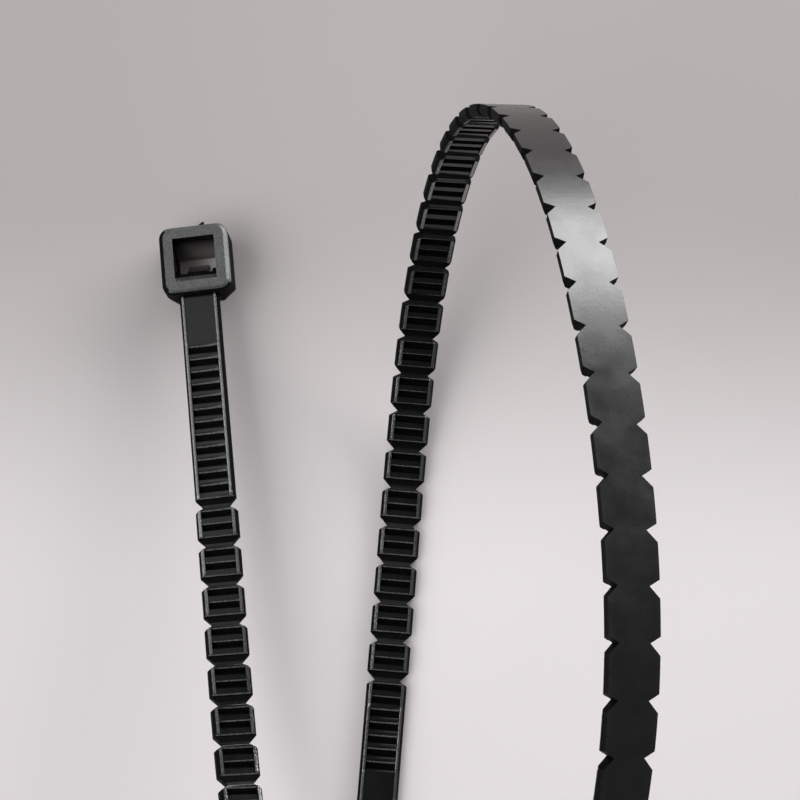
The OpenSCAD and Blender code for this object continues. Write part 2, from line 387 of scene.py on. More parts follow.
@dataclass
class StrapCurl:
    """The way the flat strap lies curled, the same as in the part's source. Lengths in millimetres."""

    solid_length: float = 25.4
    bead_length: float = 4.5
    bead_count: int = 65
    end_length: float = 44.3
    middle: float = 0.625
    lay: Point = (6.04, 6.56, -174.4)
    rest_shift: Point = (-17.3361, 38.055, 4.40703)
    rows: tuple[Point, ...] = (
        (0, 0.4, -3.4),
        (3, 0.6, -3.5),
        (6, 3.1, -3.4),
        (10, 6.7, -2.2),
        (14, 8.1, -0.3),
        (18, 7.6, 1.1),
        (22, 6.8, 1.0),
        (26, 6.4, -0.7),
        (30, 5.2, -2.3),
        (34, 3.6, -2.1),
        (38, 4.4, -1.0),
        (42, 5.8, 0.0),
        (46, 7.2, 0.5),
        (50, 8.5, 0.6),
        (54, 7.8, 0.7),
        (57, 5.8, 1.3),
        (60, 6.2, 1.7),
        (61.5, 0.0, 0.0),
        (65, 0.0, 0.0),
    )
    stations: list[tuple[float, np.ndarray, np.ndarray]] = field(default_factory=list)

    def __post_init__(self) -> None:
        """Work out the place and frame at the middle of each bead and at the two solid ends."""
        frame = turn("Z", self.lay[2]) @ turn("Y", self.lay[1]) @ turn("X", self.lay[0])
        place = np.array(self.rest_shift)
        ahead = np.array([0.0, 1.0, 0.0])
        half = self.bead_length / 2
        self.stations = [(-20.0, place - 20.0 * frame @ ahead, frame)]
        along = self.solid_length - half
        self.stations.append((along, place + along * frame @ ahead, frame))
        place = place + self.solid_length * frame @ ahead
        for bead in range(self.bead_count):
            bend, twist = self.bend_and_twist(bead)
            frame = frame @ turn("X", bend / 2) @ turn("Y", twist / 2)
            along = self.solid_length + bead * self.bead_length + half
            self.stations.append((along, place + half * frame @ ahead, frame))
            place = place + self.bead_length * frame @ ahead
            frame = frame @ turn("Y", twist / 2) @ turn("X", bend / 2)
        along = self.solid_length + self.bead_count * self.bead_length
        for beyond in (half, self.end_length):
            self.stations.append((along + beyond, place + beyond * frame @ ahead, frame))

    def bend_and_twist(self, bead: int) -> tuple[float, float]:
        """Read the bend and twist of one bead between the rows, in degrees."""
        at = [row[0] for row in self.rows]
        bend = np.interp(bead + 0.5, at, [row[1] for row in self.rows])
        twist = np.interp(bead + 0.5, at, [row[2] for row in self.rows])
        return float(bend), float(twist)

    def head_frame(self) -> Matrix:
        """Matrix in metres that lays the flat head end where it rests."""
        _, place, frame = self.stations[0]
        start = place + 20.0 * frame @ np.array([0.0, 1.0, 0.0])
        matrix = Matrix(frame.tolist()).to_4x4()
        matrix.translation = Vector(start * MM)
        return matrix

    def lay_mesh(self, mesh: bpy.types.Mesh) -> None:
        """Carry every vertex of the flat strap onto the curled one, and from millimetres to metres.

        Args:
            mesh: Flat mesh: X across, Y along the strap from the head, Z up from the back.
        """
        count = len(mesh.vertices)
        flat = np.empty(count * 3)
        mesh.vertices.foreach_get("co", flat)
        flat = flat.reshape(-1, 3)
        at = np.array([row[0] for row in self.stations])
        places = np.array([row[1] for row in self.stations])
        frames = np.array([row[2] for row in self.stations])
        span = np.clip(np.searchsorted(at, flat[:, 1], side="right") - 1, 0, len(at) - 2)
        length = (at[span + 1] - at[span])[:, None]
        t = ((flat[:, 1] - at[span])[:, None]) / length
        start, end = places[span], places[span + 1]
        start_way = frames[span][:, :, 1] * length
        end_way = frames[span + 1][:, :, 1] * length
        centre = (
            (2 * t**3 - 3 * t**2 + 1) * start
            + (t**3 - 2 * t**2 + t) * start_way
            + (3 * t**2 - 2 * t**3) * end
            + (t**3 - t**2) * end_way
        )
        way = (
            (6 * t**2 - 6 * t) * start
            + (3 * t**2 - 4 * t + 1) * start_way
            + (6 * t - 6 * t**2) * end
            + (3 * t**2 - 2 * t) * end_way
        )
        way /= np.linalg.norm(way, axis=1)[:, None]
        ease = t * t * (3 - 2 * t)
        across = frames[span][:, :, 0] * (1 - ease) + frames[span + 1][:, :, 0] * ease
        across -= way * np.sum(across * way, axis=1)[:, None]
        across /= np.linalg.norm(across, axis=1)[:, None]
        up = np.cross(across, way)
        laid = centre + across * flat[:, :1] + up * (flat[:, 2:] - self.middle)
        mesh.vertices.foreach_set("co", (laid * MM).ravel())
        mesh.update()


@dataclass
class StrapMould:
    """Sizes of the flat strap in millimetres, and the pieces that it is moulded from."""

    width: float = 4.8
    thickness: float = 1.25
    rail: float = 0.35
    slope: float = 0.3
    slope_start: float = 0.6875
    floor_drop: float = 0.15
    pitch: float = 1.5
    land: float = 0.6
    groove_depth: float = 0.5
    notch_depth: float = 0.95
    notch_to_head: float = 0.96
    notch_to_tail: float = 0.54
    solid_share: float = 0.97
    lip_length: float = 0.11
    lip_drop: float = 0.12
    corner: float = 0.14
    rounding: float = 0.05
    spare: float = 0.7
    bend_step: float = 0.5

    @property
    def floor(self) -> float:
        """Height of the channel's floor and of the lands."""
        return self.thickness - self.floor_drop

    @property
    def channel_half(self) -> float:
        """Half the width of the toothed channel."""
        return self.width / 2 - self.slope - self.rail

    def bar(self, name: str, start: float, end: float) -> bpy.types.Object:
        """Block of strap with sloped upper edges, before its channel is cut.

        Args:
            name: Object name.
            start: Where it starts along the strap.
            end: Where it ends.

        Returns:
            The block.
        """
        half = self.width / 2
        piece = add_block(name, (-half, start, 0), (half, end, self.thickness))
        cut_across(piece, (0, 0, self.slope_start), (0, 0, 1))
        factor = (half - self.slope) / half
        stretch_vertices(piece, lambda p: p.z > self.thickness - 1e-4, (factor, 1, 1), (0, 0, 0))
        return piece

    def sink_channel(self, piece: bpy.types.Object, start: float, end: float) -> None:
        """Sink the floor of the channel between two places along the strap.

        Args:
            piece: Block of strap.
            start: Where the channel starts.
            end: Where it ends.
        """
        for x in (-self.channel_half, self.channel_half):
            cut_across(piece, (x, 0, 0), (1, 0, 0))
        with editing(piece, "FACE") as mesh:
            pick_faces(
                mesh,
                lambda f: f.normal.z > 0.9
                and abs(f.center.x) < self.channel_half
                and start < f.center.y < end,
            )
            bpy.ops.object.mode_set(mode="EDIT")
            bpy.ops.mesh.extrude_region_move(TRANSFORM_OT_translate={"value": (0, 0, -self.floor_drop)})

    def groove_profile(self) -> list[tuple[float, float]]:
        """Length along and depth of each bend in a groove: lip, gentle ramp, flat, steep face."""
        length = self.pitch - self.land
        depth = self.groove_depth
        return [(0, 0), (self.lip_length, self.lip_drop), (0.66 * length, depth), (0.86 * length, depth), (length, 0)]

    def sink_grooves(self, piece: bpy.types.Object, grooves: list[float]) -> None:
        """Sink tooth grooves into the floor; each ramps down away from the head.

        Args:
            piece: Block of strap with its channel sunk and cut across at each groove.
            grooves: Where each groove starts along the strap.
        """
        for along, depth in self.groove_profile()[1:-1]:
            places = [start + along for start in grooves]

            def here(p: Vector) -> bool:
                on_floor = abs(p.z - self.floor) < 1e-3 and abs(p.x) < self.channel_half + 1e-3
                return on_floor and any(abs(p.y - y) < 1e-3 for y in places)

            shift_vertices(piece, here, (0, 0, -depth))

    def cut_end_groove(self, piece: bpy.types.Object, start: float, notch: float) -> None:
        """Cut the groove before a notch through the rails too, and leave the floor as far as the notch.

        Args:
            piece: Block of strap.
            start: Where the groove starts.
            notch: Where the notch has its tips.
        """
        top = self.thickness + 1
        tool = add_block("end_groove", (-self.width, start, self.floor), (self.width, notch + 0.1, top))
        for along, depth in self.groove_profile()[1:]:
            cut_across(tool, (0, start + along, 0), (0, 1, 0))
            bend = lambda p: abs(p.z - self.floor) < 1e-3 and abs(p.y - start - along) < 1e-3
            shift_vertices(tool, bend, (0, 0, -depth))
        combine(piece, tool, "DIFFERENCE")

    def cut_notch(self, piece: bpy.types.Object, place: float) -> None:
        """Cut a pair of side notches.

        Args:
            piece: Block of strap.
            place: Where the tips are along the strap.
        """
        tip = self.width / 2 - self.notch_depth
        reach = tip + 1.5
        spread = 1.5 / self.notch_depth
        for side in (-1, 1):
            low, high = sorted((side * tip, side * reach))
            wedge = add_block("notch_wedge", (low, place - 0.5, -1), (high, place + 0.5, 3))
            inner = lambda p: abs(p.x - side * tip) < 1e-3
            stretch_vertices(wedge, inner, (1, 0, 1), (0, place, 0))
            head_side = lambda p: abs(p.x - side * reach) < 1e-3 and p.y < place
            tail_side = lambda p: abs(p.x - side * reach) < 1e-3 and p.y > place
            shift_vertices(wedge, head_side, (0, 0.5 - spread * self.notch_to_head, 0))
            shift_vertices(wedge, tail_side, (0, spread * self.notch_to_tail - 0.5, 0))
            tidy_mesh(wedge, 1e-4)
            combine(piece, wedge, "DIFFERENCE")

    def round_corners(self, piece: bpy.types.Object, notches: list[float]) -> None:
        """Round the upright corners of the beads beside each notch."""
        with editing(piece, "EDGE") as mesh:
            found = pick_edges(
                mesh,
                lambda a, b: abs(a.x) > self.width / 2 - self.slope - 0.01
                and abs(a.z - b.z) > 0.05
                and abs(a.y - b.y) < 0.2
                and any(
                    min(abs(p.y - n + self.notch_to_head), abs(p.y - n - self.notch_to_tail)) < 0.02
                    for n in notches
                    for p in (a, b)
                ),
            )
            bpy.ops.object.mode_set(mode="EDIT")
            if found:
                bpy.ops.mesh.bevel(offset=self.corner, segments=3, affect="EDGES", clamp_overlap=True)

    def mark_regions(
        self, piece: bpy.types.Object, start: float, end: float, grooves: list[float]
    ) -> None:
        """Give each face its region by its place and normal: a mould finish, or on the lips a painted highlight and
        in the grooves, the channel's sides and the flanks a black finish with almost no reflection, painted shade.

        Args:
            piece: Flat piece of strap.
            start: Where the channel starts.
            end: Where it ends.
            grooves: Where each groove starts.
        """
        add_finishes(piece)
        for face in piece.data.polygons:
            x, y, z = face.center
            in_lip = any(-0.03 < y - groove < self.lip_length + 0.02 for groove in grooves)
            if face.normal.z < -0.93:
                region = Region.BACK
            elif z > self.thickness - 0.02 and face.normal.z > 0.95:
                region = Region.RAIL
            elif abs(x) < self.channel_half - 0.03 and z > 0.3 and start < y < end:
                # The lips of the teeth get a paler finish, a painted highlight for the glint along each tooth's edge.
                if in_lip and z > self.floor - self.lip_drop - 0.02:
                    region = Region.LIT_LIP
                else:
                    # Faces sunk below the lands get a black finish with almost no reflection, painted shade in the
                    # grooves.
                    region = Region.CHANNEL if z > self.floor - 0.03 else Region.RECESS_SHADE
            # The channel's sides get the same black finish, painted shade.
            elif abs(x) < self.channel_half + 0.02 and z > 0.3 and start < y < end:
                region = Region.RECESS_SHADE
            elif y > end and face.normal.z > 0.7:
                region = Region.CHANNEL
            # Every other face, the sides, slopes and notches, gets a black finish with almost no reflection: black
            # nylon with painted shade.
            else:
                region = Region.SHADED_FLANK
            face.material_index = region.value

    def piece(
        self,
        name: str,
        start: float,
        end: float,
        grooves: list[float],
        notches: list[float],
        open_start: bool = True,
        open_end: bool = True,
    ) -> bpy.types.Object:
        """Model one flat piece of strap, with open ends where it meets the next.

        Args:
            name: Object name.
            start: Where it starts along the strap, in the middle of a land where it is open.
            end: Where it ends.
            grooves: Where each groove starts.
            notches: Where each pair of notches has its tips.
            open_start: Whether the start is left open to be welded.
            open_end: Whether the end is left open to be welded.

        Returns:
            The piece, with its edges rounded.
        """
        low = start - self.spare if open_start else start
        high = end + self.spare if open_end else end
        piece = self.bar(name, low, high)
        for groove in grooves:
            for along, _ in self.groove_profile():
                cut_across(piece, (0, groove + along, 0), (0, 1, 0))
        last = [max(g for g in grooves if g < notch) for notch in notches]
        self.sink_channel(piece, low - 1, high + 1)
        self.sink_grooves(piece, [g for g in grooves if g not in last])
        for groove, notch in zip(last, notches):
            self.cut_end_groove(piece, groove, notch)
            self.cut_notch(piece, notch)
        self.round_corners(piece, notches)
        apply_modifier(
            piece, "BEVEL", width=self.rounding, segments=2, limit_method="ANGLE", angle_limit=math.radians(24)
        )
        if open_start:
            cut_across(piece, (0, start, 0), (0, 1, 0), Side.BEFORE)
        if open_end:
            cut_across(piece, (0, end, 0), (0, 1, 0), Side.AFTER)
        steps = max(1, round((end - start) / self.bend_step))
        for step in range(1, steps):
            cut_across(piece, (0, start + step * (end - start) / steps, 0), (0, 1, 0))
        self.mark_regions(piece, low - 1, high + 1, grooves)
        return piece


@dataclass
class Strap:
    """The whole strap: neck, solid ladder, notched beads, second ladder and tapered tail."""

    mould: StrapMould = field(default_factory=StrapMould)
    curl: StrapCurl = field(default_factory=StrapCurl)
    neck: float = 6.2
    head_grooves: int = 13
    tail_grooves: int = 7
    tip: float = 12.0
    tip_width: float = 2.6
    tip_thickness: float = 0.8

    @property
    def first_notch(self) -> float:
        """Place of the notch nearest the head."""
        return self.curl.solid_length

    @property
    def last_notch(self) -> float:
        """Place of the notch nearest the tail."""
        return self.first_notch + self.curl.bead_count * self.curl.bead_length

    def tail(self, start: float) -> bpy.types.Object:
        """Smooth tail with its taper and blunt tip.

        Args:
            start: Place of the land where it joins the ladder.

        Returns:
            The flat piece.
        """
        mould = self.mould
        end = self.last_notch + self.curl.end_length
        taper = end - self.tip
        low = start - mould.spare
        half = mould.width / 2
        piece = mould.bar("tail", low, end)
        cut_across(piece, (0, taper, 0), (0, 1, 0))
        cut_across(piece, (0, end - self.tip_width / 2, 0), (0, 1, 0))
        mould.sink_channel(piece, low - 1, taper)
        solid = half * mould.solid_share
        shares = {
            end - self.tip_width / 2: self.tip_width / 2 / solid,
            end: self.tip_width / 4 / solid,
        }
        for place, share in shares.items():
            here = lambda p, y=place: abs(p.y - y) < 1e-3
            stretch_vertices(piece, here, (share, 1, 1), (0, 0, 0))
            thin = 1 - (1 - self.tip_thickness / mould.thickness) * (place - taper) / self.tip
            stretch_vertices(piece, here, (1, 1, thin), (0, 0, 0))
        apply_modifier(
            piece, "BEVEL", width=mould.rounding, segments=2, limit_method="ANGLE", angle_limit=math.radians(24)
        )
        cut_across(piece, (0, start, 0), (0, 1, 0), Side.BEFORE)
        mould.mark_regions(piece, low, taper, [])
        return piece

    def narrow_ends(self, piece: bpy.types.Object) -> None:
        """Make the two solid ends a little narrower than the beads, as they are moulded.

        Args:
            piece: The whole flat strap.
        """
        first, last = self.first_notch - 0.02, self.last_notch + 0.02
        solid = lambda p: p.y < first or p.y > last
        stretch_vertices(piece, solid, (self.mould.solid_share, 1, 1), (0, 0, 0))

    def build(self) -> bpy.types.Object:
        """Model the strap flat, piece by piece, weld it, and lay it along its curl.

        Returns:
            The strap, in metres, where it rests.
        """
        mould = self.mould
        pitch, land = mould.pitch, mould.land
        groove = land / 2
        ladder = self.first_notch - self.head_grooves * pitch
        neck = mould.piece("neck", -0.9, ladder, [], [], open_start=False)
        rung = mould.piece("rung", ladder, ladder + pitch, [ladder + groove], [])
        rungs = copy_along(rung, pitch, self.head_grooves - 1)
        start = self.first_notch - pitch
        teeth = [start + groove + i * pitch for i in range(3)]
        bead = mould.piece("bead", start, start + self.curl.bead_length, teeth, [self.first_notch])
        beads = copy_along(bead, self.curl.bead_length, self.curl.bead_count + 1)
        start = self.last_notch + 2 * pitch
        end_rung = mould.piece("end_rung", start, start + pitch, [start + groove], [])
        end_rungs = copy_along(end_rung, pitch, self.tail_grooves - 2)
        tail = self.tail(start + (self.tail_grooves - 2) * pitch)
        strap = join_pieces([neck, *rungs, *beads, *end_rungs, tail], "strap")
        tidy_mesh(strap, 2e-3)
        self.narrow_ends(strap)
        close_seams(strap, (0.004, 0.006, 0.035))
        self.curl.lay_mesh(strap.data)
        return strap


@dataclass
class LockingHead:
    """The head: a rounded block with a slot, a ledge, a ramp, two shoulders and the pawl. Millimetres."""

    width: float = 8.1
    length: float = 8.3
    exit: float = -2.6
    entry: float = 2.35
    corner: float = 1.3
    edge: float = 0.5
    cheek_length: float = 1.3
    cheek_width: float = 1.6
    slot_half: float = 2.45
    slot_far: float = -6.8
    slot_near: float = -2.5
    ledge: float = 1.0
    ledge_depth: float = 0.6
    ledge_slope: float = 0.35
    ledge_edge: float = 0.42
    ramp: float = 1.2
    pawl_half: float = 1.2
    pawl_reach: float = 2.0
    pawl_teeth: float = 0.8
    pawl_notch: float = 0.25
    pawl_root: float = 1.2
    shoulder_width: float = 0.7
    shoulder_reach: float = 0.5
    gate_offset: float = 0.9
    gate_width: float = 0.8
    gate_height: float = 0.6
    gate_drop: float = 1.3
    rounding: float = 0.07

    @property
    def depth(self) -> float:
        """Depth of the head along the slot."""
        return self.entry - self.exit

    @property
    def pawl_top(self) -> float:
        """Height of the pawl's root and of the top of the far wall's ramp."""
        return self.entry - 0.2 * self.depth

    @property
    def pawl_tip(self) -> float:
        """Height of the pawl's first tooth."""
        return self.entry - 0.82 * self.depth

    def block(self) -> bpy.types.Object:
        """Block with round corners, corners sloped in to the strap, and rounded rims, before the slot."""
        half = self.width / 2
        piece = add_block("head", (-half, -self.length, self.exit), (half, 0, self.entry))
        with editing(piece, "EDGE") as mesh:
            pick_edges(mesh, lambda a, b: abs(a.z - b.z) > 1)
            bpy.ops.object.mode_set(mode="EDIT")
            bpy.ops.mesh.bevel(offset=self.corner, segments=8, affect="EDGES", clamp_overlap=False)
        for side in (-1, 1):
            normal = (side / self.cheek_width, 1 / self.cheek_length, -1 / self.depth)
            with editing(piece):
                bpy.ops.object.mode_set(mode="EDIT")
                bpy.ops.mesh.select_all(action="SELECT")
                bpy.ops.mesh.bisect(
                    plane_co=(side * half, 0, self.entry), plane_no=normal, use_fill=True, clear_outer=True
                )
        for rim in (self.exit, self.entry):
            with editing(piece, "EDGE") as mesh:
                pick_edges(mesh, lambda a, b: abs(a.z - rim) < 1e-3 and abs(b.z - rim) < 1e-3)
                bpy.ops.object.mode_set(mode="EDIT")
                bpy.ops.mesh.bevel(offset=self.edge, segments=2, profile=0.35, affect="EDGES", clamp_overlap=False)
        return piece

    def slot_tool(self) -> bpy.types.Object:
        """Shape of the slot: straight sides, a ramp on the far wall, a sloped ledge on the near one."""
        half = self.slot_half
        shelf = self.entry - self.ledge_depth
        shelf_end = shelf + self.ledge_slope
        ramp_foot = self.entry - 0.75 * self.depth
        tool = add_block("slot_tool", (-half, self.slot_far, self.exit - 1), (half, self.slot_near, self.entry + 1))
        for z in (ramp_foot, self.pawl_top, shelf, shelf_end):
            cut_across(tool, (0, 0, z), (0, 0, 1))
        far_low = lambda p: abs(p.y - self.slot_far) < 1e-3 and p.z < ramp_foot + 1e-3
        shift_vertices(tool, far_low, (0, self.ramp, 0))
        near_high = lambda p: abs(p.y - self.slot_near) < 1e-3 and p.z > shelf_end - 1e-3
        shift_vertices(tool, near_high, (0, self.ledge, 0))
        return tool

    def shoulder(self, side: int) -> bpy.types.Object:
        """Shoulder in a corner of the slot beside the pawl, sloped at its inner edge.

        Args:
            side: -1 or 1 for the two corners.

        Returns:
            A closed block that overlaps the walls.
        """
        inner, outer = self.slot_half - self.shoulder_width, self.slot_half + 0.3
        low, high = sorted((side * inner, side * outer))
        front = self.slot_near - self.shoulder_reach
        foot = self.exit + self.edge
        piece = add_block("shoulder", (low, front, foot), (high, self.slot_near + 0.3, self.pawl_top))
        toe = lambda p: abs(p.x - side * inner) < 1e-3 and p.y < front + 1e-3
        shift_vertices(piece, toe, (side * 0.18, 0, 0))
        return piece

    def pawl(self) -> bpy.types.Object:
        """Locking tongue: hinged below the ledge, it slants into the slot and ends in two teeth."""
        near, root, tip, reach = self.slot_near, self.pawl_top, self.pawl_tip, self.pawl_reach
        foot = tip - self.pawl_teeth
        half = self.pawl_half
        tongue = add_block("pawl", (-half, near - 3, foot), (half, near + 0.3, root))
        front = [
            (root, 0.0),
            (tip, -reach),
            (tip - 0.4 * self.pawl_teeth, self.pawl_notch - reach),
            (tip - 0.6 * self.pawl_teeth, 0.2 * self.pawl_notch - reach),
            (foot, 1.2 * self.pawl_notch - reach),
        ]
        back = [
            (root, 0.3),
            (root - self.pawl_root, 0.3),
            (tip + 0.4 * self.pawl_root, -0.3 * reach),
            (foot, -0.55 * reach),
        ]
        heights = sorted({z for z, _ in front + back})
        for z in heights[1:-1]:
            cut_across(tongue, (0, 0, z), (0, 0, 1))
        for z in heights:
            goals = [near + float(np.interp(z, *zip(*sorted(line)))) for line in (front, back)]
            at_front = lambda p: abs(p.z - z) < 1e-3 and p.y < near - 2.9
            at_back = lambda p: abs(p.z - z) < 1e-3 and abs(p.y - near - 0.3) < 1e-3
            shift_vertices(tongue, at_back, (0, goals[1] - near - 0.3, 0))
            shift_vertices(tongue, at_front, (0, goals[0] - near + 3, 0))
        return tongue

    def gate(self) -> bpy.types.Object:
        """Stub of the moulding gate, left on the far end, with its snapped tip."""
        deselect_all()
        length = self.gate_height + 0.3
        place = (-self.gate_offset, -self.length + 0.3 - length / 2, self.entry - self.gate_drop)
        bpy.ops.mesh.primitive_cylinder_add(
            vertices=24,
            radius=self.gate_width / 2,
            depth=length,
            location=place,
            rotation=(math.pi / 2, 0, 0),
        )
        stub = bpy.context.active_object
        stub.name = "gate"
        bpy.ops.object.transform_apply(location=True, rotation=True, scale=True)
        outer = lambda p: p.y < -self.length - 0.1
        stretch_vertices(stub, outer, (1, 1, 0.7), place)
        peak = (place[0] - 0.22, 0.06 - self.length - self.gate_height, 0)
        cut_across(stub, peak, (0.56, -0.83, 0), Side.AFTER, fill=True)
        return stub

    def mark_regions(self, piece: bpy.types.Object) -> None:
        """Give the outside its sparked finish and leave the slot and pawl smoother, with a painted highlight on one
        side of the rim, painted shade on the other walls, the ledge's edge and the pawl's upper part, and painted
        light from below on the slot's walls.
        """
        add_finishes(piece)
        for face in piece.data.polygons:
            x, y, z = face.center
            normal = face.normal
            back_of_slot = self.slot_near + self.ledge
            in_slot = abs(x) < self.slot_half + 0.01 and self.slot_far - 0.01 < y < back_of_slot + 0.01
            if in_slot and z < self.entry - 0.04 and z > self.exit - 0.01:
                # The ledge's front strip gets a black finish with almost no reflection, painted shade for the dark
                # line at its edge; beyond it the ledge takes the rail finish.
                if z > self.entry - self.ledge_depth - 0.1 and y > self.slot_near - 0.05:
                    region = Region.RAIL if y > self.slot_near + self.ledge_edge else Region.RECESS_SHADE
                # The pawl's upper part and the slot's corners beside it get the same black finish, painted shade near
                # the pawl's root.
                elif y > self.slot_near - self.pawl_reach - 0.1 and (z > self.entry - 1.9 or abs(x) > self.pawl_half + 0.1):
                    region = Region.RECESS_SHADE
                else:
                    # The slot's other walls and the pawl's lower part get a pale finish, painted light from the floor
                    # below, darkened towards the entry as painted shade.
                    region = Region.SLOT_PAINTED_LIGHT
            # The far end, the exit side, the steep walls and the rim's +X side get a black finish with almost no
            # reflection, painted shade.
            elif y < -self.length - 0.02 or z < self.exit + self.edge:
                region = Region.SHADED_FLANK
            elif normal.z < (0.75 if normal.y > 0.3 else 0.4):
                region = Region.SHADED_FLANK
            elif normal.x > 0.3:
                region = Region.SHADED_FLANK
            # The rim's -X side, the side the window lamp lights, gets a paler finish, a painted highlight.
            elif normal.x < -0.3:
                region = Region.LIT_RIM
            else:
                region = Region.SPARKED
            face.material_index = region.value

    def build(self, curl: StrapCurl) -> bpy.types.Object:
        """Model the head and set it on the strap's end.

        Args:
            curl: The way the strap lies.

        Returns:
            The head, in metres, where it rests.
        """
        piece = self.block()
        combine(piece, self.slot_tool(), "DIFFERENCE")
        for part in (self.gate(), self.shoulder(-1), self.shoulder(1), self.pawl()):
            combine(piece, part, "UNION")
        apply_modifier(
            piece, "BEVEL", width=self.rounding, segments=2, limit_method="ANGLE", angle_limit=math.radians(28)
        )
        tidy_mesh(piece, 1e-4)
        # Cuts across the slot, so that the painted shade towards its entry and the black at the pawl's root have
        # edges to follow.
        for depth in (1.2, 1.9, 2.9, 3.9):
            cut_across(piece, (0, 0, self.entry - depth), (0, 0, 1))
        # Cut along the ledge, where its black strip of painted shade ends.
        cut_across(piece, (0, self.slot_near + self.ledge_edge, 0), (0, 1, 0))
        close_seams(piece, ())
        self.mark_regions(piece)
        # Depth along the slot, which the slot finish reads to paint shade towards the entry.
        down = piece.data.attributes.new("slot_depth", "FLOAT", "POINT")
        depths = [min(1.0, max(0.0, (self.entry - vertex.co.z) / self.depth)) for vertex in piece.data.vertices]
        down.data.foreach_set("value", depths)
        middle = Matrix.Translation((0, 0, -curl.middle * MM))
        piece.data.transform(curl.head_frame() @ middle @ Matrix.Scale(MM, 4))
        return piece


@dataclass(frozen=True)
class NylonFinish:
    """Black moulded nylon with one finish, in some of which light or shade is painted. Grain sizes are in
    millimetres.
    """

    name: str
    colour: Point
    fleck: Point
    fleck_share: float
    worn: Point
    wear: float
    roughness: float
    roughness_spread: float
    grain_size: float
    grain_depth: float
    specular: float = 0.5
    # Whether the colour is darkened to near black towards the slot's entry, painted shade.
    painted_shade_above: bool = False
    index: float = 1.53

    def build(self) -> bpy.types.Material:
        """Make the node material.

        Returns:
            The material: flecked and clouded colour, paler worn edges, uneven gloss, a grain, and where asked painted
                shade that darkens it towards the slot's entry.
        """
        material = bpy.data.materials.new(self.name)
        material.use_nodes = True
        nodes, links = material.node_tree.nodes, material.node_tree.links
        shader = nodes["Principled BSDF"]
        shader.inputs["IOR"].default_value = self.index
        shader.inputs["Specular IOR Level"].default_value = self.specular
        place = nodes.new("ShaderNodeTexCoord")

        def noise(size: float, detail: float, rough: float) -> bpy.types.Node:
            """Noise of one grain size in millimetres, placed on the object."""
            node = nodes.new("ShaderNodeTexNoise")
            node.inputs["Scale"].default_value = 1 / (size * MM)
            node.inputs["Detail"].default_value = detail
            node.inputs["Roughness"].default_value = rough
            links.new(place.outputs["Object"], node.inputs["Vector"])
            return node

        def mix(amount: bpy.types.NodeSocket, colour: Point, first: bpy.types.NodeSocket | Point) -> bpy.types.NodeSocket:
            """Mix a colour over another by an amount that varies."""
            node = nodes.new("ShaderNodeMix")
            node.data_type = "RGBA"
            if isinstance(first, bpy.types.NodeSocket):
                links.new(first, node.inputs["A"])
            else:
                node.inputs["A"].default_value = (*first, 1)
            node.inputs["B"].default_value = (*colour, 1)
            links.new(amount, node.inputs["Factor"])
            return node.outputs["Result"]

        def ranged(value: bpy.types.NodeSocket, low: float, high: float, start: float, end: float) -> bpy.types.NodeSocket:
            """Carry a value from one range to another."""
            node = nodes.new("ShaderNodeMapRange")
            node.inputs["From Min"].default_value = low
            node.inputs["From Max"].default_value = high
            node.inputs["To Min"].default_value = start
            node.inputs["To Max"].default_value = end
            links.new(value, node.inputs["Value"])
            return node.outputs["Result"]

        grain = noise(self.grain_size, 2.0, 0.55)
        cloud = noise(2.6, 3.0, 0.5)
        scuffs = noise(0.5, 3.0, 0.6)
        wear = nodes.new("ShaderNodeAttribute")
        wear.attribute_name = "edge_wear"
        share = self.fleck_share
        fleck = ranged(grain.outputs["Fac"], share, share + 0.16, 0.0, 1.0)
        flecked = mix(fleck, self.fleck, self.colour)
        worn = nodes.new("ShaderNodeMath")
        worn.operation = "MULTIPLY"
        links.new(wear.outputs["Fac"], worn.inputs[0])
        links.new(ranged(scuffs.outputs["Fac"], 0.35, 0.65, 0.15 * self.wear, self.wear), worn.inputs[1])
        shade = nodes.new("ShaderNodeMix")
        shade.data_type = "RGBA"
        shade.blend_type = "MULTIPLY"
        shade.inputs["Factor"].default_value = 0.4
        links.new(mix(worn.outputs["Value"], self.worn, flecked), shade.inputs["A"])
        links.new(ranged(cloud.outputs["Fac"], 0.3, 0.7, 0.55, 1.0), shade.inputs["B"])
        colour = shade.outputs["Result"]
        # Painted shade: the colour fades to near black towards the slot's entry.
        if self.painted_shade_above:
            depth = nodes.new("ShaderNodeAttribute")
            depth.attribute_name = "slot_depth"
            lit = ranged(depth.outputs["Fac"], 0.25, 0.8, 0.0, 1.0)
            deep = nodes.new("ShaderNodeMix")
            deep.data_type = "RGBA"
            deep.inputs["A"].default_value = (0.002, 0.002, 0.002, 1)
            links.new(lit, deep.inputs["Factor"])
            links.new(colour, deep.inputs["B"])
            colour = deep.outputs["Result"]
        links.new(colour, shader.inputs["Base Color"])
        gloss = ranged(
            cloud.outputs["Fac"], 0.3, 0.7, self.roughness - self.roughness_spread, self.roughness + self.roughness_spread
        )
        links.new(gloss, shader.inputs["Roughness"])
        bump = nodes.new("ShaderNodeBump")
        bump.inputs["Strength"].default_value = 1.0
        bump.inputs["Distance"].default_value = self.grain_depth * MM
        links.new(grain.outputs["Fac"], bump.inputs["Height"])
        links.new(bump.outputs["Normal"], shader.inputs["Normal"])
        return material


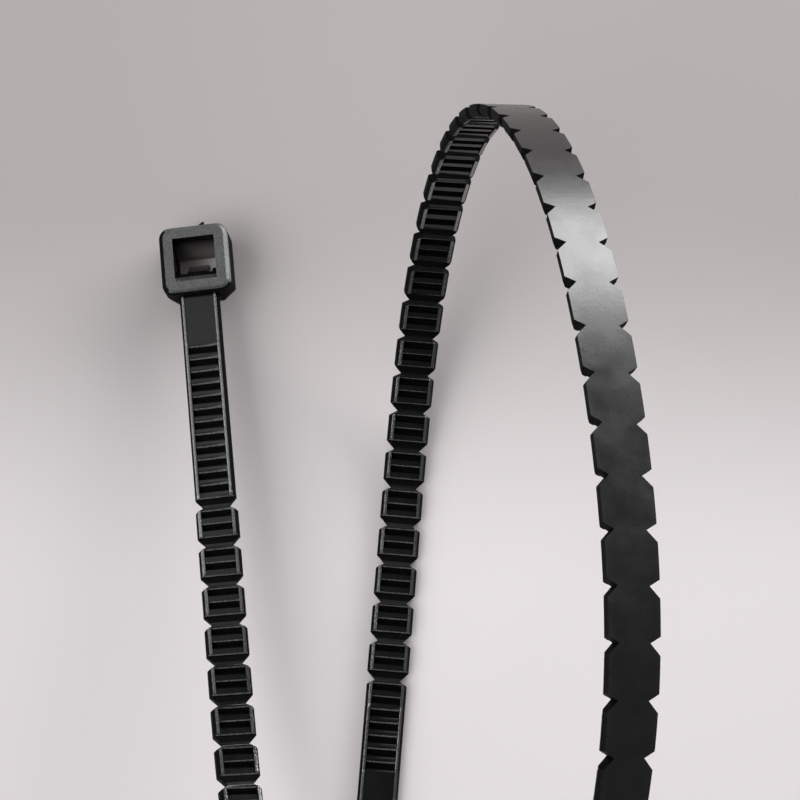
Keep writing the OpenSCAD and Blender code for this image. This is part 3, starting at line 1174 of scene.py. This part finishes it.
FINISHES: dict[Region, NylonFinish] = {
    Region.SPARKED: NylonFinish(
        "nylon_sparked", (0.024, 0.025, 0.0245), (0.08, 0.084, 0.082), 0.42, (0.1, 0.104, 0.1), 0.5,
        0.5, 0.06, 0.22, 0.03, 0.8
    ),
    Region.RAIL: NylonFinish(
        "nylon_rail", (0.004, 0.0045, 0.004), (0.025, 0.027, 0.025), 0.42, (0.03, 0.031, 0.03), 0.3,
        0.24, 0.04, 0.2, 0.045, 0.78, index=2.1
    ),
    Region.CHANNEL: NylonFinish(
        "nylon_channel", (0.0015, 0.002, 0.0018), (0.004, 0.0045, 0.0042), 0.5, (0.01, 0.0105, 0.01), 0.3,
        0.24, 0.04, 0.3, 0.005, 0.415
    ),
    # Painted shade: black with almost no reflection, for the shade in grooves and other recesses.
    Region.RECESS_SHADE: NylonFinish(
        "nylon_recess_shade", (0.003, 0.003, 0.0026), (0.005, 0.005, 0.0045), 0.5, (0.006, 0.006, 0.006), 0.3,
        0.55, 0.05, 0.3, 0.006, 0.025
    ),
    # Painted highlight: a paler colour on the lips of the teeth, for the glint along their edges.
    Region.LIT_LIP: NylonFinish(
        "nylon_lit_lip", (0.075, 0.077, 0.075), (0.19, 0.195, 0.19), 0.42, (0.16, 0.164, 0.16), 0.5,
        0.5, 0.05, 0.2, 0.012, 0.175
    ),
    # Painted shade: black nylon with almost no reflection, so the walls it is on stay dark whatever they face.
    Region.SHADED_FLANK: NylonFinish(
        "nylon_shaded_flank", (0.003, 0.003, 0.003), (0.006, 0.006, 0.006), 0.5, (0.02, 0.021, 0.02), 0.4,
        0.55, 0.05, 0.12, 0.012, 0.025
    ),
    Region.BACK: NylonFinish(
        "nylon_back", (0.0015, 0.0015, 0.0015), (0.004, 0.004, 0.004), 0.5, (0.02, 0.021, 0.02), 0.3,
        0.27, 0.04, 0.3, 0.005, 0.825
    ),
    # Painted light: a pale brownish colour on the slot's walls for light coming up from the floor, with painted shade
    # towards the entry.
    Region.SLOT_PAINTED_LIGHT: NylonFinish(
        "nylon_slot_painted_light", (0.2, 0.186, 0.178), (0.23, 0.212, 0.203), 0.5, (0.24, 0.225, 0.215), 0.3,
        0.5, 0.05, 0.3, 0.01, 0.175, True
    ),
    # Painted highlight: a paler colour on the lit side of the head's rim.
    Region.LIT_RIM: NylonFinish(
        "nylon_lit_rim", (0.035, 0.036, 0.0355), (0.12, 0.125, 0.122), 0.42, (0.13, 0.135, 0.132), 0.3,
        0.42, 0.05, 0.22, 0.02, 0.8
    ),
}


@dataclass
class CableTie:
    """The whole moulding: strap and head in one piece."""

    strap: Strap = field(default_factory=Strap)
    head: LockingHead = field(default_factory=LockingHead)
    node: str = "cable_tie"
    slot: str = "black_nylon"
    wear_angle: float = math.radians(14)
    full_wear_angle: float = math.radians(45)

    def build(self) -> bpy.types.Object:
        """Build the moulding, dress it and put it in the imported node's place.

        Returns:
            The finished piece.
        """
        strap = self.strap.build()
        log.info("strap: %d faces", len(strap.data.polygons))
        head = self.head.build(self.strap.curl)
        log.info("head: %d faces", len(head.data.polygons))
        piece = join_pieces([strap, head], "cable_tie_moulding")
        self.dress(piece)
        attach(piece, "root")
        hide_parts(self.node)
        return piece

    def dress(self, piece: bpy.types.Object) -> None:
        """Note where the edges are worn, and shade the moulding smooth between its edges."""
        mesh = piece.data
        normals = [polygon.normal.copy() for polygon in mesh.polygons]
        centres = [polygon.center.copy() for polygon in mesh.polygons]
        beside: dict[tuple[int, int], list[int]] = {}
        for polygon in mesh.polygons:
            for edge in polygon.edge_keys:
                beside.setdefault(edge, []).append(polygon.index)
        worn = np.zeros(len(mesh.vertices))
        for (first, second), faces in beside.items():
            if len(faces) != 2:
                continue
            one, other = faces
            angle = normals[one].angle(normals[other], 0.0)
            outward = (centres[other] - centres[one]).dot(normals[one]) < 0
            if outward and angle > self.wear_angle:
                worn[[first, second]] = np.maximum(worn[[first, second]], angle / self.full_wear_angle)
        attribute = mesh.attributes.new("edge_wear", "FLOAT", "POINT")
        attribute.data.foreach_set("value", np.minimum(worn, 1.0))
        make_active(piece)
        bpy.ops.object.shade_smooth_by_angle(angle=math.radians(32))
        for edge in mesh.edges:
            regions = {mesh.polygons[face].material_index for face in beside[edge.key]}
            if Region.BACK.value in regions and len(regions) > 1:
                edge.use_edge_sharp = True
        apply_modifier(piece, "WEIGHTED_NORMAL", mode="FACE_AREA", weight=50, keep_sharp=True)


@dataclass(frozen=True)
class SoftLamp:
    """A rectangular soft lamp, placed by its direction from the middle of the tie. Metres and degrees."""

    name: str
    azimuth: float
    elevation: float
    distance: float
    size: tuple[float, float]
    power: float
    colour: Point = (1.0, 1.0, 1.0)

    def build(self) -> bpy.types.Object:
        """Make the lamp, aimed at the tie.

        Returns:
            The lamp.
        """
        data = bpy.data.lights.new(self.name, "AREA")
        data.shape = "RECTANGLE"
        data.size, data.size_y = self.size
        data.energy = self.power
        data.color = self.colour
        lamp = bpy.data.objects.new(self.name, data)
        bpy.context.collection.objects.link(lamp)
        level = math.cos(math.radians(self.elevation))
        away = Vector((
            level * math.cos(math.radians(self.azimuth)),
            level * math.sin(math.radians(self.azimuth)),
            math.sin(math.radians(self.elevation)),
        ))
        lamp.location = Vector((0, 0, 0.03)) + away * self.distance
        lamp.rotation_euler = away.to_track_quat("Z", "Y").to_euler()
        return lamp


LAMPS: tuple[SoftLamp, ...] = (
    SoftLamp("window", 50, 14, 1.05, (1.25, 0.45), 14.6),
    SoftLamp("left_box", 183, 40, 0.9, (0.9, 0.8), 4.6),
    SoftLamp("front_left_box", 216, 46, 0.9, (0.8, 0.6), 2.6),
    SoftLamp("back_box", 118, 62, 0.9, (0.7, 0.45), 0.66),
)
WORLD_STRENGTH = 0.14


@dataclass
class Studio:
    """Pale floor, soft lamps and the camera at the photograph's viewing angle."""

    camera_place: Point = (-0.00914791, -0.01095383, 0.23459175)
    camera_target: Point = (0.00620084, 0.02606413, 0.00235829)
    half_view: float = 0.2
    floor_size: float = 3.0
    floor_pale: Point = (0.9, 0.851, 0.855)
    floor_grey: Point = (0.53, 0.4925, 0.489)
    floor_pale_from: float = 0.002
    floor_grey_from: float = 0.052

    def build_floor(self) -> bpy.types.Object:
        """Floor that carries the tie, its colour darkening towards +Y and towards -X as painted shade.

        Returns:
            The floor.
        """
        deselect_all()
        bpy.ops.mesh.primitive_plane_add(size=self.floor_size)
        floor = bpy.context.active_object
        floor.name = "bench_floor"
        material = bpy.data.materials.new("bench_paper")
        material.use_nodes = True
        nodes, links = material.node_tree.nodes, material.node_tree.links
        shader = nodes["Principled BSDF"]
        shader.inputs["Roughness"].default_value = 0.9
        shader.inputs["Specular IOR Level"].default_value = 0.1
        place = nodes.new("ShaderNodeTexCoord")
        split = nodes.new("ShaderNodeSeparateXYZ")
        links.new(place.outputs["Object"], split.inputs["Vector"])
        # Painted shade: the floor's colour darkens from the pale tone to the grey one towards +Y.
        ramp = nodes.new("ShaderNodeMapRange")
        ramp.interpolation_type = "SMOOTHSTEP"
        ramp.inputs["From Min"].default_value = self.floor_pale_from
        ramp.inputs["From Max"].default_value = self.floor_grey_from
        links.new(split.outputs["Y"], ramp.inputs["Value"])
        tone = nodes.new("ShaderNodeMix")
        tone.data_type = "RGBA"
        tone.inputs["A"].default_value = (*self.floor_pale, 1)
        tone.inputs["B"].default_value = (*self.floor_grey, 1)
        links.new(ramp.outputs["Result"], tone.inputs["Factor"])
        # Painted shade: the floor's colour darkens a little more towards -X.
        side = nodes.new("ShaderNodeMapRange")
        side.interpolation_type = "SMOOTHSTEP"
        side.inputs["From Min"].default_value = -0.04
        side.inputs["From Max"].default_value = 0.012
        side.inputs["To Min"].default_value = 0.87
        side.inputs["To Max"].default_value = 0.95
        links.new(split.outputs["X"], side.inputs["Value"])
        shade = nodes.new("ShaderNodeMix")
        shade.data_type = "RGBA"
        shade.blend_type = "MULTIPLY"
        shade.inputs["Factor"].default_value = 1.0
        links.new(tone.outputs["Result"], shade.inputs["A"])
        links.new(side.outputs["Result"], shade.inputs["B"])
        links.new(shade.outputs["Result"], shader.inputs["Base Color"])
        floor.data.materials.append(material)
        return floor

    def build_camera(self) -> bpy.types.Object:
        """Camera that looks down on the tie as the photograph does.

        Returns:
            The camera.
        """
        data = bpy.data.cameras.new("photo_camera")
        data.sensor_width = 36.0
        data.lens = 18.0 / self.half_view
        data.clip_start = 0.01
        data.clip_end = 20.0
        camera = bpy.data.objects.new("photo_camera", data)
        bpy.context.collection.objects.link(camera)
        place, target = Vector(self.camera_place), Vector(self.camera_target)
        back = (place - target).normalized()
        up = Vector((0, 0.987533, 0.157413))
        right = up.cross(back).normalized()
        up = back.cross(right)
        frame = Matrix((right, up, back)).transposed().to_4x4()
        frame.translation = place
        camera.matrix_world = frame
        bpy.context.scene.camera = camera
        return camera

    def build(self) -> None:
        """Set the floor, the lamps, the world and the camera."""
        self.build_floor()
        for lamp in LAMPS:
            lamp.build()
        world = bpy.data.worlds.new("room")
        world.use_nodes = True
        world.node_tree.nodes["Background"].inputs["Color"].default_value = (0.95, 0.95, 1.0, 1)
        world.node_tree.nodes["Background"].inputs["Strength"].default_value = WORLD_STRENGTH
        bpy.context.scene.world = world
        bpy.context.scene.view_settings.view_transform = "Standard"
        self.build_camera()


def main() -> None:
    """Build the tie and the studio."""
    tie = CableTie().build()
    log.info("moulding: %d vertices, %d faces", len(tie.data.vertices), len(tie.data.polygons))
    Studio().build()
    log.info("studio: floor, %d lamps, camera", len(LAMPS))
    deselect_all()


if __name__ == "__main__":
    main()
